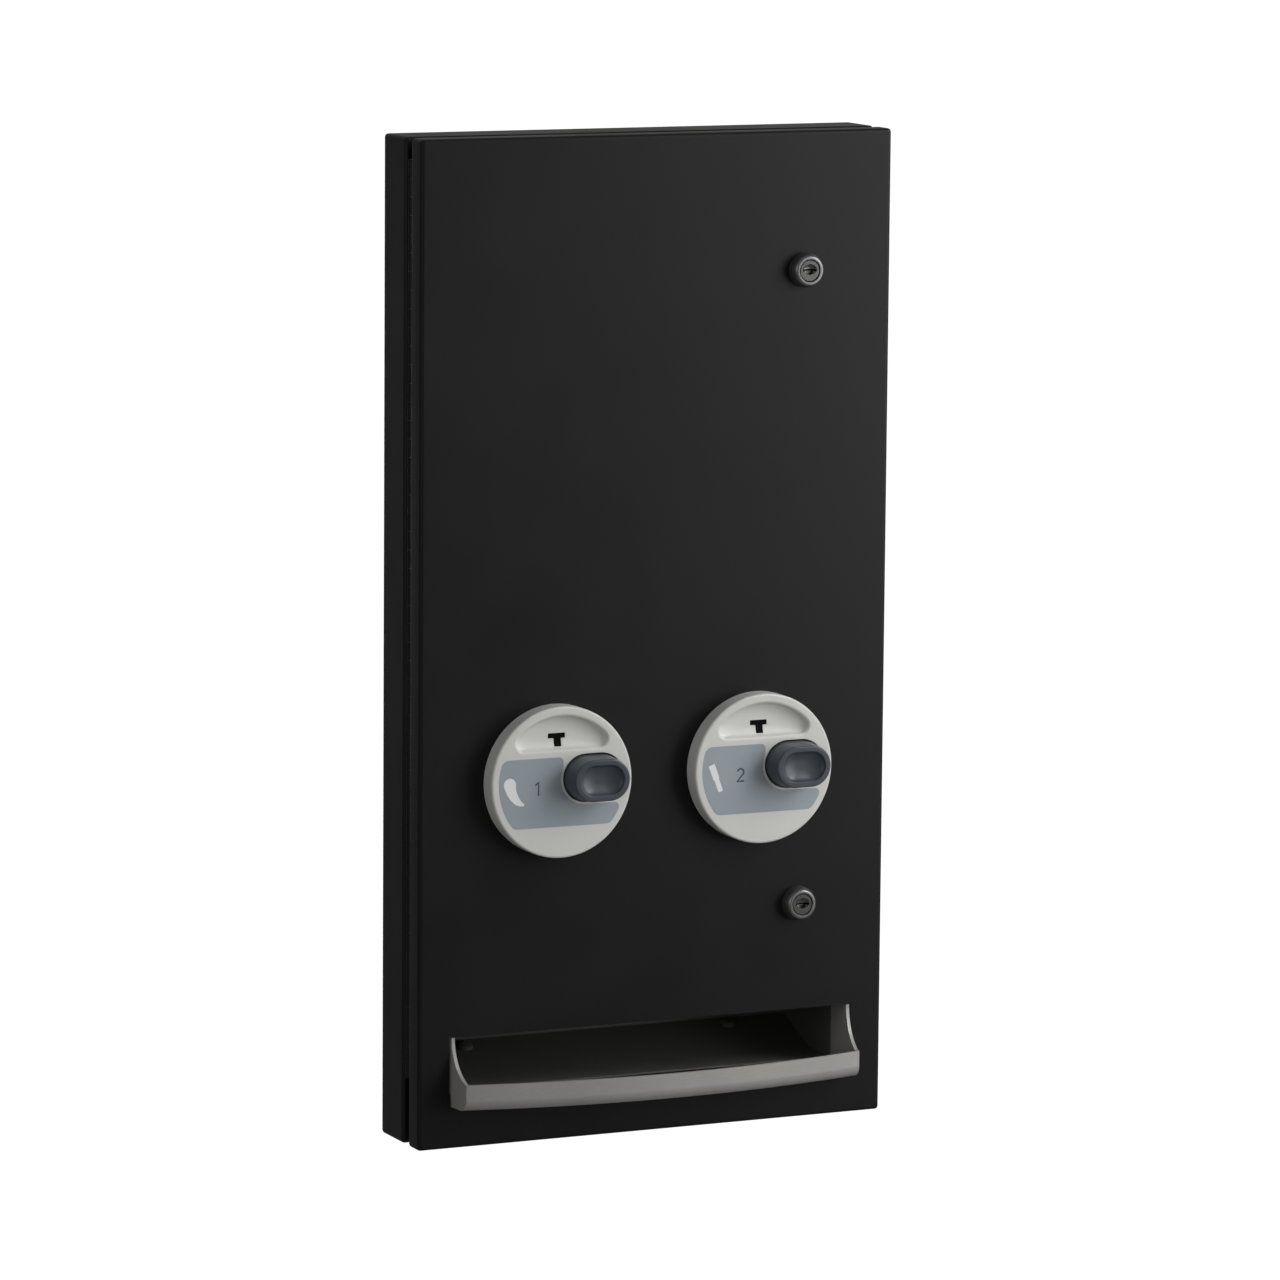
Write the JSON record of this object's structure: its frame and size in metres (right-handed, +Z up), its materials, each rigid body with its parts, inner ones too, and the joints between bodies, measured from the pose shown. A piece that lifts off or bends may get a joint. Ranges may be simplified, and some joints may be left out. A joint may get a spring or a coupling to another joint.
{
  "type": "tampon and pad dispenser",
  "caption": "Recessed wall cabinet with a hinged flat door, round push-button dials that drop tampons and pads, cam locks and a full-width pick-up tray.",
  "frame": {"origin": "centre of the wall opening, on the plane of the wall's face", "axes": "+X to the right as seen from the front, +Y into the wall, +Z up"},
  "size_m": [0.3496, 0.1436, 0.6858],
  "materials": {
    "black_paint": "matte black powder coat",
    "ramp_paint": "matte dark grey paint",
    "dial_plastic": "satin off-white moulding",
    "label_film": "satin blue-grey film",
    "symbol_film": "satin white film",
    "button_plastic": "satin slate-grey moulding",
    "blank_plastic": "matte black moulding",
    "tray_silver": "satin silver-grey paint",
    "zinc_steel": "zinc plated",
    "spring_steel": "drawn spring wire",
    "lock_metal": "dark nickel",
    "stock_steel": "galvanised sheet"
  },
  "bodies": {
    "cabinet": {"recess_tub": "black_paint", "collar_frame": "black_paint", "hinge_frame_leaf": "black_paint", "hinge_pin": "zinc_steel", "pad_magazine": "stock_steel", "tampon_magazine": "stock_steel", "pad_magazine_screw_lower": "zinc_steel", "pad_magazine_screw_upper": "zinc_steel", "tampon_magazine_screw_lower": "zinc_steel", "tampon_magazine_screw_upper": "zinc_steel", "pad_gate_pin": "zinc_steel", "tampon_gate_pin": "zinc_steel", "chute_ramp": "ramp_paint", "ramp_ledge": "zinc_steel", "ramp_screw_left": "lock_metal", "ramp_screw_right": "lock_metal", "upper_strike": "zinc_steel", "lower_strike": "zinc_steel"},
    "door": {"door_panel": "black_paint", "hinge_door_leaf": "black_paint", "pad_dial_housing": "dial_plastic", "pad_dial_label": "label_film", "pad_symbol": "symbol_film", "pad_slot_blank": "blank_plastic", "pad_spring": "spring_steel", "pad_bracket": "zinc_steel", "pad_bracket_screw_lower": "zinc_steel", "pad_bracket_screw_upper": "zinc_steel", "tampon_dial_housing": "dial_plastic", "tampon_dial_label": "label_film", "tampon_symbol": "symbol_film", "tampon_slot_blank": "blank_plastic", "tampon_spring": "spring_steel", "tampon_bracket": "zinc_steel", "tampon_bracket_screw_lower": "zinc_steel", "tampon_bracket_screw_upper": "zinc_steel", "upper_lock_body": "lock_metal", "upper_lock_nut": "zinc_steel", "lower_lock_body": "lock_metal", "lower_lock_nut": "zinc_steel", "delivery_tray": "tray_silver", "tray_nut_left": "zinc_steel", "tray_nut_right": "zinc_steel"},
    "pad_button": {"pad_button": "button_plastic", "pad_plunger": "zinc_steel", "pad_clip": "zinc_steel"},
    "tampon_button": {"tampon_button": "button_plastic", "tampon_plunger": "zinc_steel", "tampon_clip": "zinc_steel"},
    "pad_gate": {"pad_gate": "stock_steel"},
    "tampon_gate": {"tampon_gate": "stock_steel"},
    "upper_lock": {"upper_lock_plug": "lock_metal", "upper_cam": "zinc_steel", "upper_cam_screw": "zinc_steel"},
    "lower_lock": {"lower_lock_plug": "lock_metal", "lower_cam": "zinc_steel", "lower_cam_screw": "zinc_steel"}
  },
  "joints": [
    {"name": "door_hinge", "type": "hinge", "parent": "cabinet", "child": "door", "pos_m": [-0.17155, -0.0426, 0], "axis": [0, 0, -1], "range_deg": [0, 110]},
    {"name": "pad_button_push", "type": "slide", "parent": "door", "child": "pad_button", "axis": [0, 1, 0], "range_m": [0, 0.012], "stiffness_N_per_m": 600, "springref_m": -0.005, "deforming": ["pad_spring"]},
    {"name": "tampon_button_push", "type": "slide", "parent": "door", "child": "tampon_button", "axis": [0, 1, 0], "range_m": [0, 0.012], "stiffness_N_per_m": 600, "springref_m": -0.005, "deforming": ["tampon_spring"]},
    {"name": "pad_gate_swing", "type": "hinge", "parent": "cabinet", "child": "pad_gate", "pos_m": [-0.076, -0.0113, -0.112], "axis": [-1, 0, 0], "range_deg": [0, 38]},
    {"name": "tampon_gate_swing", "type": "hinge", "parent": "cabinet", "child": "tampon_gate", "pos_m": [0.076, -0.0113, -0.112], "axis": [-1, 0, 0], "range_deg": [0, 38]},
    {"name": "upper_lock_turn", "type": "hinge", "parent": "door", "child": "upper_lock", "pos_m": [0.1092, -0.0653, 0.2478], "axis": [0, -1, 0], "range_deg": [0, 90]},
    {"name": "lower_lock_turn", "type": "hinge", "parent": "door", "child": "lower_lock", "pos_m": [0.1092, -0.0653, -0.1912], "axis": [0, -1, 0], "range_deg": [0, 90]}
  ],
  "couplings": [
    {"joint": "pad_gate_swing", "follows": "pad_button_push", "rad_per_m": 55.2},
    {"joint": "tampon_gate_swing", "follows": "tampon_button_push", "rad_per_m": 55.2}
  ]
}
